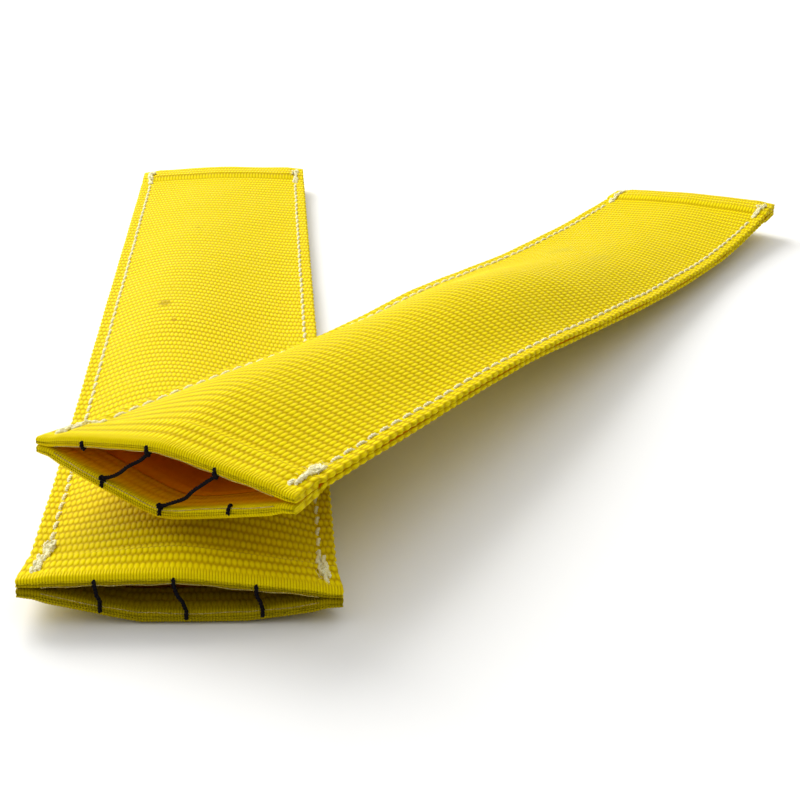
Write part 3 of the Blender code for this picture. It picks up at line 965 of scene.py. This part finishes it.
def add_floor():
    """A plain pale floor."""
    half = FLOOR_SIZE / 2
    corners = [(-half, -half, 0.0), (half, -half, 0.0), (half, half, 0.0), (-half, half, 0.0)]
    mesh = bpy.data.meshes.new("floor")
    mesh.from_pydata(corners, [], [(0, 1, 2, 3)])
    nodes = Nodes("pale_floor")
    place = nodes.add("ShaderNodeTexCoord").outputs["Object"]
    speckle = nodes.noise(place, 3.0, 2.0)
    nodes.set(Base_Color=nodes.mix(speckle, (0.88, 0.88, 0.87), (0.90, 0.90, 0.895)), Roughness=0.75)
    mesh.materials.append(nodes.material)
    floor = bpy.data.objects.new("floor", mesh)
    floor.location = (0.0, 0.0, -FLOOR_DROP)
    bpy.context.scene.collection.objects.link(floor)


def add_area_light(name, place, target, size, power, colour):
    """A square soft light that looks at a target."""
    data = bpy.data.lights.new(name, "AREA")
    data.size = size
    data.energy = power
    data.color = colour
    light = bpy.data.objects.new(name, data)
    light.location = place
    light.rotation_euler = (Vector(target) - Vector(place)).to_track_quat("-Z", "Y").to_euler()
    bpy.context.scene.collection.objects.link(light)


def add_sky():
    """A pale sky that is brighter above and behind on the left than in front."""
    world = bpy.data.worlds.new("studio")
    world.use_nodes = True
    tree = world.node_tree
    background = tree.nodes["Background"]
    direction = tree.nodes.new("ShaderNodeTexCoord")
    toward = tree.nodes.new("ShaderNodeVectorMath")
    toward.operation = "DOT_PRODUCT"
    toward.inputs[1].default_value = (-0.36, 0.62, 0.70)
    strength = tree.nodes.new("ShaderNodeMapRange")
    strength.inputs["From Min"].default_value = -0.4
    strength.inputs["From Max"].default_value = 1.0
    strength.inputs["To Min"].default_value = 0.10
    strength.inputs["To Max"].default_value = 1.25
    tree.links.new(direction.outputs["Generated"], toward.inputs[0])
    tree.links.new(toward.outputs["Value"], strength.inputs["Value"])
    tree.links.new(strength.outputs["Result"], background.inputs["Strength"])
    background.inputs["Color"].default_value = (1.0, 1.0, 1.0, 1.0)
    bpy.context.scene.world = world


def add_light():
    """Soft studio light: a large one above and behind on the left, and a weak one in front."""
    middle = (0.08, -0.05, 0.02)
    add_area_light("key_light", (-0.95, 1.60, 1.55), middle, 1.7, 58.0, (1.0, 0.99, 0.96))
    add_area_light("fill_light", (0.6, -1.2, 1.1), middle, 1.2, 1.1, (1.0, 0.99, 0.97))
    add_sky()


# ---------------------------------------------------------------- the scene

# Each stain: how far across and along the sleeve it is, its radius and stretch, its strength and its colour.
LOWER_STAINS = (
    (-0.0224, 0.2858, 0.0040, 1.5, 0.75, (0.42, 0.27, 0.004)),
    (-0.0163, 0.2577, 0.0016, 2.2, 0.60, (0.42, 0.20, 0.004)),
    (-0.0105, 0.2590, 0.0012, 2.0, 0.35, (0.45, 0.30, 0.006)),
    (-0.0118, 0.4389, 0.0016, 1.2, 0.55, (0.40, 0.28, 0.010)),
)
UPPER_STAINS = (
    (-0.0214, 0.4151, 0.0075, 2.0, 0.38, (0.55, 0.46, 0.030)),
    (0.0097, 0.3990, 0.0060, 2.4, 0.30, (0.55, 0.46, 0.030)),
)
# The frayed part of each tack: how far in from its mouth, and how many loose loops it has.
TACK_FRAY = {
    ("lower", "left", "near"): (0.0300, 7), ("lower", "right", "near"): (0.0120, 5),
    ("upper", "left", "near"): (0.0200, 4), ("upper", "right", "near"): (0.0265, 15),
    ("lower", "left", "far"): (0.0120, 3), ("lower", "right", "far"): (0.0160, 3),
    ("upper", "left", "far"): (0.0100, 3), ("upper", "right", "far"): (0.0140, 3),
}


def make_sleeve(sleeve, webbing_cloth, white_thread, dark_thread, clear_thread):
    """One sleeve: its two plies, its seams and their tacks, its hem threads, its ties and its ticks."""
    bottom = make_ply(sleeve, "bottom", webbing_cloth)
    top = make_ply(sleeve, "top", webbing_cloth)
    for side in ("left", "right"):
        make_seam(sleeve, side, "top", white_thread)
        make_seam(sleeve, side, "bottom", white_thread)
        for end in ("near", "far"):
            clump_at, loops = TACK_FRAY[sleeve["name"], side, end]
            make_tack(sleeve, side, end, clump_at, loops, white_thread)
    for end in ("near", "far"):
        for face in ("top", "bottom"):
            make_filament(sleeve, face, end, clear_thread)
        ties = [tie for tie in sleeve["ties"] if tie[0] == end]
        for number, tie in enumerate(ties, 1):
            make_tie(sleeve, number, *tie, dark_thread)
    for face, u in sleeve["ticks"]:
        make_tick(sleeve, face, u, dark_thread)


add_camera()
bpy.context.scene.view_settings.view_transform = "Standard"

webbing = {"lower": webbing_material("webbing_lower", LOWER_STAINS),
           "upper": webbing_material("webbing_upper", UPPER_STAINS)}
seam_thread = thread_material("white_thread", (0.86, 0.78, 0.34), (0.97, 0.94, 0.70), 0.45, 0.2, 0.4)
tie_thread = thread_material("dark_thread", (0.002, 0.002, 0.003), (0.011, 0.008, 0.012), 0.65, 0.0, 0.08)
clear_thread = clear_material()

for sleeve in (LOWER, UPPER):
    make_sleeve(sleeve, webbing[sleeve["name"]], seam_thread, tie_thread, clear_thread)

add_floor()
add_light()
